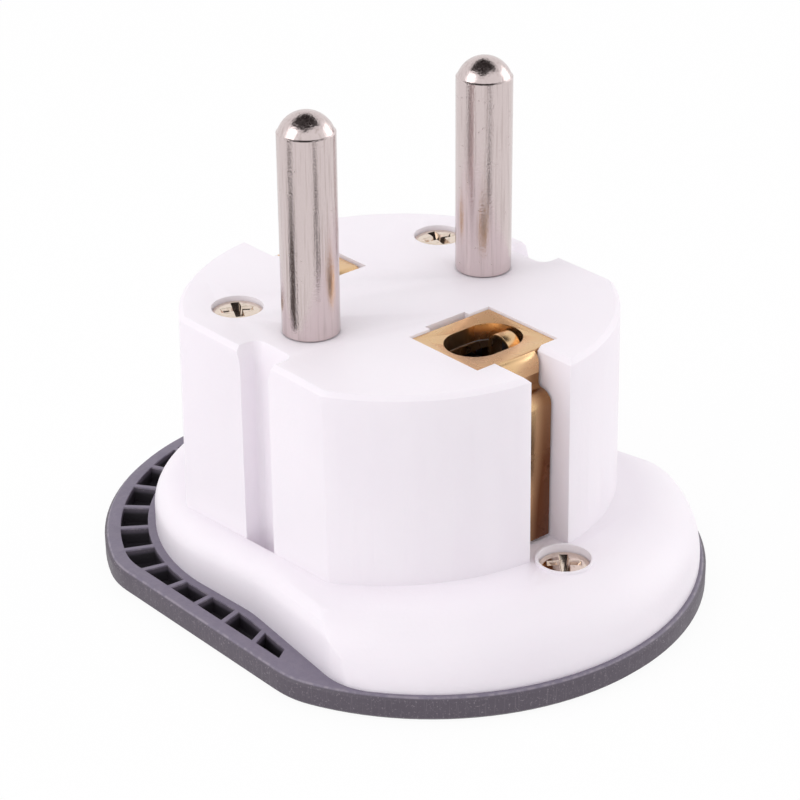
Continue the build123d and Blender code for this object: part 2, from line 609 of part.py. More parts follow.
def contact_holder():
    """Inner plate with partition walls that keep the contacts apart."""
    low = RIM_HEIGHT
    top = low + HOLDER_PLATE
    plate = raised(cavity_outline(HOLDER_GAP), low, top)
    plate -= raised(socket_slots(HOLDER_SLOT_GAP), low, top)
    for x, y in face_screw_spots():
        radius = POST_RADIUS + POST_GAP
        notch = Rot(0, 0, math.degrees(math.atan2(y, x))) * Box(CAVITY_RADIUS, 2 * radius, HOLDER_PLATE, align=OUTWARD)
        plate -= upright(radius, low, top, x, y) + Pos(x, y, low) * notch
    for side in (-1, 1):
        x0, x1 = sorted((side * (HOLDER_INNER_FACE - HOLDER_WALL), side * HOLDER_INNER_FACE))
        reach = HOLDER_SIDE_FACE + HOLDER_WALL
        plate += block(x0, x1, -reach, reach, top, HOLDER_WALL_TOP)
        x0, x1 = sorted((side * (HOLDER_INNER_FACE - HOLDER_WALL), side * HOLDER_SIDE_END))
        for end in (-1, 1):
            y0, y1 = sorted((end * HOLDER_SIDE_FACE, end * reach))
            plate += block(x0, x1, y0, y1, top, HOLDER_WALL_TOP)
    return plate - raised(socket_slots(HOLDER_SLOT_GAP), low, top)


def cross_screw(x, y, top, length):
    """Screw with a rounded head and a cross recess."""
    seat = top - SCREW_HEAD_HEIGHT
    head = upright(SCREW_HEAD_RADIUS, seat, top, x, y)
    head = fillet(head.faces().sort_by(Axis.Z)[-1].edges(), SCREW_DOME)
    shank = upright(SCREW_RADIUS, seat - length + SCREW_POINT, seat, x, y)
    point = Pos(x, y, seat - length) * Cone(SCREW_TIP_RADIUS, SCREW_RADIUS, SCREW_POINT, align=UP)
    screw = head + shank + point
    for turn in (45, 135):
        bar = Box(CROSS_LENGTH, CROSS_WIDTH, CROSS_DEPTH, align=DOWN)
        screw -= Pos(x, y, top) * Rot(0, 0, turn) * bar
    return screw


def face_screw(side):
    """Long screw that holds the housing to the cover."""
    top = FACE_Z - SCREW_SUNK
    return cross_screw(side * FACE_SCREW_X, FACE_SCREW_Y, top, FACE_SCREW_LENGTH)


def flange_screw():
    """Short screw at the front of the flange."""
    return cross_screw(0, FLANGE_SCREW_Y, FLANGE_SCREW_TOP - SCREW_SUNK, FLANGE_SCREW_LENGTH)


def build_all():
    """Every piece by its name."""
    pieces = {
        "housing": housing(),
        "socket_cover": socket_cover(),
        "contact_holder": contact_holder(),
        "front_earth_contact": front_earth_contact(),
        "back_earth_contact": back_earth_contact(),
        "earth_pin_spring": earth_pin_spring(),
        "earth_bridge": earth_bridge(),
        "earth_socket_contact": earth_socket_contact(),
        "earth_rivet": earth_rivet(),
        "flange_screw": flange_screw(),
    }
    for name, side in (("left", -1), ("right", 1)):
        pieces[f"plug_pin_{name}"] = plug_pin(side * PIN_X)
        pieces[f"line_contact_{name}"] = line_contact(side)
        pieces[f"contact_clip_{name}"] = contact_clip(side)
        pieces[f"pin_washer_{name}"] = pin_washer(side)
        pieces[f"face_screw_{name}"] = face_screw(side)
    return pieces


os.makedirs("parts", exist_ok=True)
for node, solid in build_all().items():
    export_step(solid, f"parts/{node}.step")
    print(node, round(solid.volume, 2))
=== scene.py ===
"""Dresses the plug adapter: softened mouldings, cross-head screws, finishes, studio and camera."""
import json
import logging
import math
from collections.abc import Callable
from dataclasses import dataclass, field
from enum import Enum

import bmesh
import bpy
from mathutils import Matrix, Vector


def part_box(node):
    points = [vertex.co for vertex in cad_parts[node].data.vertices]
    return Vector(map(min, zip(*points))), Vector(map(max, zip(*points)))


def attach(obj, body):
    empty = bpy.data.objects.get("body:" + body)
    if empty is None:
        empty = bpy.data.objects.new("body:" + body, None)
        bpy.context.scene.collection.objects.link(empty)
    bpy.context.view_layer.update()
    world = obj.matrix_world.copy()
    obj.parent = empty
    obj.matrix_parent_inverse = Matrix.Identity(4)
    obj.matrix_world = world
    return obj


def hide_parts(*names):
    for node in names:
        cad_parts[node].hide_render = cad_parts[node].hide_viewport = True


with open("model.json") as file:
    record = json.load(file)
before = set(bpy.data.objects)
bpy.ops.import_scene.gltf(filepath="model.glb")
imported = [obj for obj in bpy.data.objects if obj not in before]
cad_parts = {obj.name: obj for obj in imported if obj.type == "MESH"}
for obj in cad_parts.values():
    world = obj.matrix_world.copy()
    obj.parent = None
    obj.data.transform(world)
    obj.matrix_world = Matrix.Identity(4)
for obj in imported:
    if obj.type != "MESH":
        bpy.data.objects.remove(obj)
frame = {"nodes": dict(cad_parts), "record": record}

LOG = logging.getLogger("plug_adapter")
MM = 0.001
BODY = "root"
UPRIGHT = 0.9
MASK_MIDDLE = 0.5
Colour = tuple[float, float, float, float]
Point = tuple[float, float, float]
Range = tuple[float, float]
WHITE: Colour = (1.0, 1.0, 1.0, 1.0)


def rgb(red: int, green: int, blue: int) -> Colour:
    """Gives the linear colour of a colour seen on a screen.

    Args:
        red: Red, 0 to 255.
        green: Green, 0 to 255.
        blue: Blue, 0 to 255.

    Returns:
        The linear colour with full cover.
    """
    def linear(value: int) -> float:
        """Undoes the screen's curve for one channel."""
        share = value / 255
        return share / 12.92 if share <= 0.04045 else ((share + 0.055) / 1.055) ** 2.4

    return (linear(red), linear(green), linear(blue), 1.0)


class Slot(Enum):
    """Material slots of the record."""

    WHITE = "white_plastic"
    DARK = "dark_plastic"
    NICKEL = "nickel"
    BRASS = "brass"
    SPRING = "spring_steel"
    SCREW = "screw_steel"


class NodeTree:
    """Short calls for laying out shader nodes."""

    def __init__(self, tree: bpy.types.NodeTree) -> None:
        """Keeps the tree that nodes are added to."""
        self.tree = tree

    def add(self, kind: str, **settings: object) -> bpy.types.Node:
        """Adds a node.

        Args:
            kind: The node's type name without the ShaderNode prefix.
            settings: Attributes to set on the node.

        Returns:
            The new node.
        """
        prefix = "" if kind.startswith("NodeGroup") else "ShaderNode"
        node = self.tree.nodes.new(prefix + kind)
        for name, value in settings.items():
            setattr(node, name, value)
        return node

    def link(self, source: bpy.types.NodeSocket, target: bpy.types.NodeSocket) -> None:
        """Joins two sockets."""
        self.tree.links.new(source, target)

    def math(self, operation: str, first: object, second: object = 0.0) -> bpy.types.NodeSocket:
        """Adds a Math node.

        Args:
            operation: The node's operation.
            first: A socket or a number.
            second: A socket or a number.

        Returns:
            The result socket.
        """
        node = self.add("Math", operation=operation)
        for socket, value in zip(node.inputs, (first, second)):
            if isinstance(value, bpy.types.NodeSocket):
                self.link(value, socket)
            else:
                socket.default_value = value
        return node.outputs[0]

    def ramp(self, value: bpy.types.NodeSocket, low: float, high: float) -> bpy.types.NodeSocket:
        """Maps a value smoothly to 0 at low and 1 at high.

        Args:
            value: The socket that is mapped.
            low: Where the result is 0.
            high: Where the result is 1.

        Returns:
            The result socket.
        """
        node = self.add("MapRange", interpolation_type="SMOOTHSTEP")
        self.link(value, node.inputs["Value"])
        node.inputs["From Min"].default_value = low
        node.inputs["From Max"].default_value = high
        return node.outputs["Result"]

    def mix(self, factor: object, first: object, second: object) -> bpy.types.NodeSocket:
        """Mixes two colours.

        Args:
            factor: A socket or a number.
            first: The colour at 0, as a socket or a value.
            second: The colour at 1, as a socket or a value.

        Returns:
            The result socket.
        """
        node = self.add("Mix", data_type="RGBA")
        # The node has sockets for every data type: 6 and 7 are its colours, 2 its mixed colour.
        for index, value in ((0, factor), (6, first), (7, second)):
            if isinstance(value, bpy.types.NodeSocket):
                self.link(value, node.inputs[index])
            else:
                node.inputs[index].default_value = value
        return node.outputs[2]

    def split_rays(
        self,
        hidden: bpy.types.NodeSocket,
        shown: bpy.types.NodeSocket,
        target: bpy.types.NodeSocket,
        share: float = 1.0,
    ) -> None:
        """Feeds one shader to camera and mirror rays and another to all the rest.

        Args:
            hidden: The shader that the other rays meet.
            shown: The shader that camera and mirror rays meet.
            target: The output's surface socket.
            share: How much of the shown shader camera and mirror rays meet, 0 to 1.
        """
        path = self.add("LightPath")
        blend = self.add("MixShader")
        direct = self.math("MAXIMUM", path.outputs["Is Camera Ray"], path.outputs["Is Glossy Ray"])
        self.link(self.math("MULTIPLY", direct, share), blend.inputs[0])
        self.link(hidden, blend.inputs[1])
        self.link(shown, blend.inputs[2])
        self.link(blend.outputs[0], target)


class EffectGroup:
    """A node group with size and amount inputs and a mask output, made once, placed often."""

    name: str = ""
    detail: float = 3.0
    usual_size: float = 1.0
    usual_amount: float = 0.5

    @classmethod
    def tree(cls) -> bpy.types.NodeTree:
        """Returns the group's tree, building it the first time."""
        found = bpy.data.node_groups.get(cls.name)
        if found is not None:
            return found
        tree = bpy.data.node_groups.new(cls.name, "ShaderNodeTree")
        tree.interface.new_socket("Vector", in_out="INPUT", socket_type="NodeSocketVector")
        size = tree.interface.new_socket("Size", in_out="INPUT", socket_type="NodeSocketFloat")
        size.default_value = cls.usual_size
        amount = tree.interface.new_socket("Amount", in_out="INPUT", socket_type="NodeSocketFloat")
        amount.default_value = cls.usual_amount
        tree.interface.new_socket("Mask", in_out="OUTPUT", socket_type="NodeSocketFloat")
        nodes = NodeTree(tree)
        source = nodes.add("NodeGroupInput")
        target = nodes.add("NodeGroupOutput")
        nodes.link(cls.build(nodes, source), target.inputs["Mask"])
        return tree

    @classmethod
    def build(cls, nodes: NodeTree, source: bpy.types.Node) -> bpy.types.NodeSocket:
        """Lays out the effect; each group has its own."""
        raise NotImplementedError

    @classmethod
    def noise(
        cls, nodes: NodeTree, source: bpy.types.Node, vector: bpy.types.NodeSocket
    ) -> bpy.types.Node:
        """Adds a noise as fine as the group's size input says.

        Args:
            nodes: The group's nodes.
            source: The group's input node.
            vector: The coordinates that the noise follows.

        Returns:
            The noise node.
        """
        noise = nodes.add("TexNoise")
        nodes.link(vector, noise.inputs["Vector"])
        nodes.link(nodes.math("DIVIDE", 1.0, source.outputs["Size"]), noise.inputs["Scale"])
        noise.inputs["Detail"].default_value = cls.detail
        return noise

    @staticmethod
    def around_middle(
        nodes: NodeTree, source: bpy.types.Node, value: bpy.types.NodeSocket
    ) -> bpy.types.NodeSocket:
        """Spreads a value round a half, as strongly as the group's amount input says.

        Args:
            nodes: The group's nodes.
            source: The group's input node.
            value: The socket that is spread.

        Returns:
            The result socket.
        """
        centred = nodes.math("SUBTRACT", value, MASK_MIDDLE)
        spread = nodes.math("MULTIPLY", centred, source.outputs["Amount"])
        return nodes.math("ADD", spread, MASK_MIDDLE)

    @classmethod
    def place(
        cls, nodes: NodeTree, vector: bpy.types.NodeSocket, size: float, amount: float
    ) -> bpy.types.NodeSocket:
        """Puts the group into a material.

        Args:
            nodes: The material's nodes.
            vector: The coordinates that the effect follows.
            size: The effect's grain in metres.
            amount: How strong a soft effect is, 1 being plain noise, or how common specks are.

        Returns:
            The mask socket.
        """
        node = nodes.add("Group")
        node.node_tree = cls.tree()
        nodes.link(vector, node.inputs["Vector"])
        node.inputs["Size"].default_value = size
        node.inputs["Amount"].default_value = amount
        return node.outputs["Mask"]


class Mottle(EffectGroup):
    """Soft cloudy change over a surface."""

    name = "mottle"

    @classmethod
    def build(cls, nodes: NodeTree, source: bpy.types.Node) -> bpy.types.NodeSocket:
        """Lays out a soft noise around a half."""
        noise = cls.noise(nodes, source, source.outputs["Vector"])
        return cls.around_middle(nodes, source, noise.outputs["Fac"])


class Specks(EffectGroup):
    """Small sharp marks, such as nicks and dust."""

    name = "specks"
    detail = 4.0
    harshness: float = 0.7
    highest_limit: float = 0.78
    limit_drop: float = 0.3
    edge: float = 0.04

    @classmethod
    def build(cls, nodes: NodeTree, source: bpy.types.Node) -> bpy.types.NodeSocket:
        """Lays out marks where a fine noise passes a limit."""
        noise = cls.noise(nodes, source, source.outputs["Vector"])
        noise.inputs["Roughness"].default_value = cls.harshness
        drop = nodes.math("MULTIPLY", source.outputs["Amount"], cls.limit_drop)
        limit = nodes.math("SUBTRACT", cls.highest_limit, drop)
        above = nodes.math("SUBTRACT", noise.outputs["Fac"], limit)
        return nodes.ramp(above, 0.0, cls.edge)


class DrawnLines(EffectGroup):
    """Fine lines along the Z axis of the given coordinates, as on drawn metal."""

    name = "drawn_lines"
    squeeze: float = 0.04

    @classmethod
    def build(cls, nodes: NodeTree, source: bpy.types.Node) -> bpy.types.NodeSocket:
        """Lays out a noise that is stretched along Z."""
        stretch = nodes.add("VectorMath", operation="MULTIPLY")
        nodes.link(source.outputs["Vector"], stretch.inputs[0])
        stretch.inputs[1].default_value = (1.0, 1.0, cls.squeeze)
        noise = cls.noise(nodes, source, stretch.outputs[0])
        return cls.around_middle(nodes, source, noise.outputs["Fac"])


class Finish:
    """A material made once; each finish lays out its own nodes."""

    name: str = ""

    def material(self) -> bpy.types.Material:
        """Returns the finish's material, building it the first time."""
        found = bpy.data.materials.get(self.name)
        if found is not None:
            return found
        material = bpy.data.materials.new(self.name)
        material.use_nodes = True
        nodes = NodeTree(material.node_tree)
        shader = material.node_tree.nodes["Principled BSDF"]
        place = nodes.add("TexCoord").outputs["Object"]
        self.lay_out(nodes, shader, place)
        return material

    def lay_out(self, nodes: NodeTree, shader: bpy.types.Node, place: bpy.types.NodeSocket) -> None:
        """Joins the finish's nodes to the shader; each finish has its own."""
        raise NotImplementedError

    @staticmethod
    def bump(
        nodes: NodeTree, shader: bpy.types.Node, height: bpy.types.NodeSocket, depth: float
    ) -> None:
        """Feeds a height to the shader's normal.

        Args:
            nodes: The material's nodes.
            shader: The material's shader.
            height: The height mask, 0 to 1.
            depth: The height of a full mask in metres.
        """
        node = nodes.add("Bump")
        node.inputs["Strength"].default_value = 1.0
        node.inputs["Distance"].default_value = depth
        nodes.link(height, node.inputs["Height"])
        nodes.link(node.outputs["Normal"], shader.inputs["Normal"])


@dataclass(frozen=True)
class WhiteMoulding(Finish):
    """Satin white plastic with a faint flow mark and a little dust."""

    name: str = "white_moulding"
    colour: Colour = rgb(246, 240, 246)
    shade: Colour = rgb(238, 231, 239)
    dust: Colour = rgb(196, 186, 192)
    cloud_size: float = 14 * MM
    dust_size: float = 0.9 * MM
    dust_share: float = 0.05
    dust_strength: float = 0.5
    grain_size: float = 0.35 * MM
    grain_depth: float = 0.012 * MM
    roughness: float = 0.34
    roughness_change: float = 0.16
    glow: float = 0.12
    glow_tint: Point = (1.0, 0.85, 0.9)
    glow_depth: float = 0.6 * MM
    refraction: float = 1.46

    def lay_out(self, nodes: NodeTree, shader: bpy.types.Node, place: bpy.types.NodeSocket) -> None:
        """Lays out the plastic.

        Args:
            nodes: The material's nodes.
            shader: The material's shader.
            place: Object coordinates.
        """
        cloud = Mottle.place(nodes, place, self.cloud_size, 1.0)
        dust = Specks.place(nodes, place, self.dust_size, self.dust_share)
        base = nodes.mix(cloud, self.shade, self.colour)
        dusty = nodes.mix(nodes.math("MULTIPLY", dust, self.dust_strength), base, self.dust)
        nodes.link(dusty, shader.inputs["Base Color"])
        grain = Mottle.place(nodes, place, self.grain_size, 1.0)
        change = nodes.math("MULTIPLY", cloud, self.roughness_change)
        nodes.link(nodes.math("ADD", change, self.roughness), shader.inputs["Roughness"])
        self.bump(nodes, shader, grain, self.grain_depth)
        shader.inputs["Subsurface Weight"].default_value = self.glow
        shader.inputs["Subsurface Radius"].default_value = self.glow_tint
        shader.inputs["Subsurface Scale"].default_value = self.glow_depth
        shader.inputs["IOR"].default_value = self.refraction


@dataclass(frozen=True)
class DarkMoulding(Finish):
    """Dark matte plastic: a thin worn line on the rim, a scratched side in painted shade and
    pockets in painted dark shade.
    """

    name: str = "dark_moulding"
    colour: Colour = rgb(126, 118, 136)
    shade: Colour = rgb(112, 104, 120)
    # Painted shade: the rim's side gets this darker copy of the top's colour.
    painted_side_shade: Colour = rgb(84, 76, 87)
    scuff: Colour = rgb(158, 149, 157)
    # Painted shade: the colour that darkens the pockets behind the rim.
    pocket_shade_colour: Colour = rgb(34, 29, 36)
    rim_top: float = 2.15 * MM
    pocket_half_width: float = 20.9 * MM
    pocket_radius: float = 22.2 * MM
    pocket_run: float = 4.0 * MM
    pocket_depth: Range = (0.12 * MM, 0.7 * MM)
    pocket_floor: Range = (0.1 * MM, 0.3 * MM)
    cloud_size: float = 3 * MM
    cloud_amount: float = 0.9
    side_drop: Range = (0.2 * MM, 0.1 * MM)
    line_drop: float = 0.08 * MM
    line_core: float = 0.02 * MM
    line_reach: float = 0.1 * MM
    line_gap_size: float = 0.7 * MM
    line_gap_amount: float = 1.6
    line_gap_range: Range = (0.35, 0.7)
    line_strength: float = 0.55
    scratch_size: float = 0.12 * MM
    scratch_amount: float = 2.0
    scratch_range: Range = (0.62, 0.95)
    scratch_strength: float = 0.18
    speck_size: float = 0.2 * MM
    speck_share: float = 0.62
    speck_strength: float = 0.55
    side_marks: float = 0.75
    top_marks: float = 0.06
    grain_size: float = 0.25 * MM
    grain_depth: float = 0.03 * MM
    roughness: float = 0.42
    roughness_change: float = 0.2

    def lay_out(self, nodes: NodeTree, shader: bpy.types.Node, place: bpy.types.NodeSocket) -> None:
        """Lays out the plastic.

        Args:
            nodes: The material's nodes.
            shader: The material's shader.
            place: Object coordinates.
        """
        cloud = Mottle.place(nodes, place, self.cloud_size, self.cloud_amount)
        split = nodes.add("SeparateXYZ")
        nodes.link(place, split.inputs[0])
        height = split.outputs["Z"]
        painted_pocket_shade = self.painted_pocket_shade(nodes, split)
        outside = nodes.math("SUBTRACT", 1.0, painted_pocket_shade)
        low, high = (self.rim_top - drop for drop in self.side_drop)
        # Painted shade: below the rim's top edge the side is masked for a darker colour.
        painted_side_shade = nodes.math("SUBTRACT", 1.0, nodes.ramp(height, low, high))
        top = nodes.mix(cloud, self.shade, self.colour)
        base = nodes.mix(nodes.math("MULTIPLY", painted_side_shade, outside), top, self.painted_side_shade)
        wear = self.wear(nodes, place, height, painted_side_shade)
        marked = nodes.mix(nodes.math("MULTIPLY", wear, outside), base, self.scuff)
        # Painted shade: the pockets behind the rim are darkened, more with their depth.
        nodes.link(nodes.mix(painted_pocket_shade, marked, self.pocket_shade_colour), shader.inputs["Base Color"])
        change = nodes.math("MULTIPLY", cloud, self.roughness_change)
        nodes.link(nodes.math("ADD", change, self.roughness), shader.inputs["Roughness"])
        self.bump(nodes, shader, Mottle.place(nodes, place, self.grain_size, 1.0), self.grain_depth)

    def wear(
        self,
        nodes: NodeTree,
        place: bpy.types.NodeSocket,
        height: bpy.types.NodeSocket,
        painted_side_shade: bpy.types.NodeSocket,
    ) -> bpy.types.NodeSocket:
        """Masks the worn line along the rim, and the scratches and specks on its side.

        Args:
            nodes: The material's nodes.
            place: Object coordinates.
            height: Their Z.
            painted_side_shade: The mask of the rim's side, which also carries its painted shade.

        Returns:
            The mask socket.
        """
        near = nodes.math("ABSOLUTE", nodes.math("SUBTRACT", height, self.rim_top - self.line_drop))
        line = nodes.math("SUBTRACT", 1.0, nodes.ramp(near, self.line_core, self.line_reach))
        patches = Mottle.place(nodes, place, self.line_gap_size, self.line_gap_amount)
        gaps = nodes.ramp(patches, *self.line_gap_range)
        worn = nodes.math("MULTIPLY", nodes.math("MULTIPLY", line, gaps), self.line_strength)
        drawn = DrawnLines.place(nodes, place, self.scratch_size, self.scratch_amount)
        scratches = nodes.ramp(drawn, *self.scratch_range)
        specks = Specks.place(nodes, place, self.speck_size, self.speck_share)
        thin = nodes.math("MULTIPLY", scratches, self.scratch_strength)
        fine = nodes.math("ADD", thin, nodes.math("MULTIPLY", specks, self.speck_strength))
        spread = nodes.math("ADD", nodes.math("MULTIPLY", painted_side_shade, self.side_marks), self.top_marks)
        return nodes.math("MAXIMUM", worn, nodes.math("MULTIPLY", fine, spread))

    def painted_pocket_shade(self, nodes: NodeTree, split: bpy.types.Node) -> bpy.types.NodeSocket:
        """Masks the painted shade in the pockets behind the rim, darker with their depth.

        Args:
            nodes: The material's nodes.
            split: The separated Object coordinates.

        Returns:
            The mask socket.
        """
        across = nodes.math("ABSOLUTE", split.outputs["X"])
        past = nodes.math("SUBTRACT", nodes.math("ABSOLUTE", split.outputs["Y"]), self.pocket_run)
        along = nodes.math("MAXIMUM", past, 0.0)
        squares = [nodes.math("POWER", value, 2.0) for value in (across, along)]
        away = nodes.math("SQRT", nodes.math("ADD", *squares))
        within = nodes.math("LESS_THAN", away, self.pocket_radius)
        narrow = nodes.math("LESS_THAN", across, self.pocket_half_width)
        depth = nodes.math("SUBTRACT", self.rim_top, split.outputs["Z"])
        dark = nodes.ramp(depth, *self.pocket_depth)
        above = nodes.ramp(split.outputs["Z"], *self.pocket_floor)
        inside = nodes.math("MULTIPLY", within, narrow)
        return nodes.math("MULTIPLY", inside, nodes.math("MULTIPLY", dark, above))


@dataclass(frozen=True)
class NickelPlate(Finish):
    """Bright nickel with fine lines from drawing and a few dull rubs."""

    name: str = "nickel_plate"
    colour: Colour = rgb(210, 196, 195)
    rub: Colour = rgb(166, 150, 147)
    line_size: float = 0.22 * MM
    line_amount: float = 1.6
    line_depth: float = 0.02 * MM
    line_shade: float = 1.2
    grain_size: float = 0.16 * MM
    grain_amount: float = 1.4
    grain_part: float = 0.6
    rub_size: float = 0.8 * MM
    rub_share: float = 0.5
    rub_strength: float = 0.35
    roughness: float = 0.2
    line_roughness: float = 0.12
    rub_roughness: float = 0.1

    def lay_out(self, nodes: NodeTree, shader: bpy.types.Node, place: bpy.types.NodeSocket) -> None:
        """Lays out the plating.

        Args:
            nodes: The material's nodes.
            shader: The material's shader.
            place: Object coordinates.
        """
        lines = DrawnLines.place(nodes, place, self.line_size, self.line_amount)
        rubs = Specks.place(nodes, place, self.rub_size, self.rub_share)
        dips = nodes.math("MAXIMUM", nodes.math("SUBTRACT", MASK_MIDDLE, lines), 0.0)
        shade = nodes.math("MULTIPLY", dips, self.line_shade)
        mask = nodes.math("MAXIMUM", shade, nodes.math("MULTIPLY", rubs, self.rub_strength))
        nodes.link(nodes.mix(mask, self.colour, self.rub), shader.inputs["Base Color"])
        shader.inputs["Metallic"].default_value = 1.0
        drawn = nodes.math("MULTIPLY", lines, self.line_roughness)
        rough = nodes.math("ADD", drawn, self.roughness - self.line_roughness / 2)
        dull = nodes.math("MULTIPLY", rubs, self.rub_roughness)
        nodes.link(nodes.math("ADD", rough, dull), shader.inputs["Roughness"])
        grain = Mottle.place(nodes, place, self.grain_size, self.grain_amount)
        smooth = nodes.math("MULTIPLY", lines, 1.0 - self.grain_part)
        height = nodes.math("ADD", smooth, nodes.math("MULTIPLY", grain, self.grain_part))
        self.bump(nodes, shader, height, self.line_depth)


@dataclass(frozen=True)
class SatinBrass(Finish):
    """Rolled brass, satin, with painted dark brown shade on the strips down in the body's grooves.
    """

    name: str = "satin_brass"
    colour: Colour = rgb(236, 200, 154)
    shade: Colour = rgb(212, 172, 128)
    # Painted shade: the dark brown that the strips in the grooves are darkened to.
    groove_shade_colour: Colour = rgb(114, 64, 26)
    groove_depth: float = 14.6 * MM
    groove_shade_top: float = 21.0 * MM
    groove_shade_foot: float = 8.0 * MM
    groove_shade_end: float = 1.5 * MM
    foot_share: float = 0.6
    edge_share: float = 0.75
    edge_start: float = -0.4 * MM
    edge_full: float = 1.4 * MM
    cloud_size: float = 2.2 * MM
    cloud_amount: float = 0.7
    cloud_part: float = 0.7
    line_size: float = 0.12 * MM
    line_amount: float = 0.8
    line_depth: float = 0.004 * MM
    roughness: float = 0.2
    roughness_change: float = 0.14

    def lay_out(self, nodes: NodeTree, shader: bpy.types.Node, place: bpy.types.NodeSocket) -> None:
        """Lays out the brass.

        Args:
            nodes: The material's nodes.
            shader: The material's shader.
            place: Object coordinates.
        """
        cloud = Mottle.place(nodes, place, self.cloud_size, self.cloud_amount)
        lines = DrawnLines.place(nodes, place, self.line_size, self.line_amount)
        soft = nodes.math("MULTIPLY", cloud, self.cloud_part)
        tint = nodes.math("ADD", soft, nodes.math("MULTIPLY", lines, 1.0 - self.cloud_part))
        clean = nodes.mix(tint, self.shade, self.colour)
        # Painted shade: the groove strips darken towards their foot and one edge.
        groove_shaded = nodes.mix(self.painted_groove_shade(nodes, place), clean, self.groove_shade_colour)
        nodes.link(groove_shaded, shader.inputs["Base Color"])
        shader.inputs["Metallic"].default_value = 1.0
        change = nodes.math("MULTIPLY", cloud, self.roughness_change)
        nodes.link(nodes.math("ADD", change, self.roughness), shader.inputs["Roughness"])
        self.bump(nodes, shader, lines, self.line_depth)

    def painted_groove_shade(self, nodes: NodeTree, place: bpy.types.NodeSocket) -> bpy.types.NodeSocket:
        """Masks the painted shade of the strips in the grooves, deeper to the foot and to one edge.

        Args:
            nodes: The material's nodes.
            place: Object coordinates.

        Returns:
            The mask socket.
        """
        split = nodes.add("SeparateXYZ")
        nodes.link(place, split.inputs[0])
        outward = nodes.math("ABSOLUTE", split.outputs["Y"])
        in_groove = nodes.math("GREATER_THAN", outward, self.groove_depth)
        drop = nodes.math("MULTIPLY", split.outputs["Z"], -1.0)
        foot = nodes.ramp(drop, -self.groove_shade_top, -self.groove_shade_foot)
        edge = nodes.ramp(split.outputs["X"], self.edge_start, self.edge_full)
        below = nodes.math("LESS_THAN", split.outputs["Z"], self.groove_shade_top + self.groove_shade_end)
        lower = nodes.math("MULTIPLY", foot, self.foot_share)
        share = nodes.math("ADD", lower, nodes.math("MULTIPLY", edge, self.edge_share))
        strip = nodes.math("MULTIPLY", in_groove, below)
        return nodes.math("MULTIPLY", nodes.math("MINIMUM", share, 1.0), strip)


@dataclass(frozen=True)
class SteelFinish(NickelPlate):
    """Plated steel of screws, clips and washers."""

    name: str = "plated_steel"
    colour: Colour = rgb(226, 210, 196)
    rub: Colour = rgb(176, 152, 132)
    line_size: float = 0.5 * MM
    roughness: float = 0.14
    line_depth: float = 0.004 * MM


FINISHES: dict[Slot, Finish] = {
    Slot.WHITE: WhiteMoulding(),
    Slot.DARK: DarkMoulding(),
    Slot.NICKEL: NickelPlate(),
    Slot.BRASS: SatinBrass(),
    Slot.SPRING: SteelFinish(),
    Slot.SCREW: SteelFinish(),
}


def deselect_all() -> None:
    """Leaves object mode with nothing selected."""
    if bpy.context.object is not None and bpy.context.object.mode != "OBJECT":
        bpy.ops.object.mode_set(mode="OBJECT")
    bpy.ops.object.select_all(action="DESELECT")


def activate(piece: bpy.types.Object) -> None:
    """Leaves object mode with only this piece selected and active.

    Args:
        piece: The object.
    """
    deselect_all()
    piece.select_set(True)
    bpy.context.view_layer.objects.active = piece


def aimed(place: Point, aim: Point) -> Matrix:
    """Gives the turn of a camera or lamp that looks from one point at another."""
    return (Vector(aim) - Vector(place)).to_track_quat("-Z", "Y").to_matrix().to_4x4()


def draw_out(rise: float, share: float, middle: Vector) -> None:
    """Extrudes the picked faces along Z and scales them across, about a middle."""
    bpy.ops.mesh.extrude_region_move(TRANSFORM_OT_translate={"value": (0.0, 0.0, rise)})
    bpy.ops.transform.resize(value=(share, share, 1.0), center_override=middle)


def round_edges(
    piece: bpy.types.Object, width: float, segments: int, angle: float, smooth: float
) -> None:
    """Bevels the active piece's sharp edges and shades the rest smooth.

    Args:
        piece: The active object.
        width: The bevel's width in metres.
        segments: How many steps the bevel has.
        angle: From how many degrees on an edge is bevelled.
        smooth: Up to how many degrees an edge is shaded smooth.
    """
    bevel = piece.modifiers.new("edge", "BEVEL")
    bevel.width = width
    bevel.segments = segments
    bevel.limit_method = "ANGLE"
    bevel.angle_limit = math.radians(angle)
    bpy.ops.object.modifier_apply(modifier=bevel.name)
    bpy.ops.object.shade_smooth_by_angle(angle=math.radians(smooth))


def dress(piece: bpy.types.Object, slot: Slot) -> None:
    """Gives a piece the one material of a slot.

    Args:
        piece: The mesh object.
        slot: The record's slot.
    """
    piece.data.materials.clear()
    piece.data.materials.append(FINISHES[slot].material())


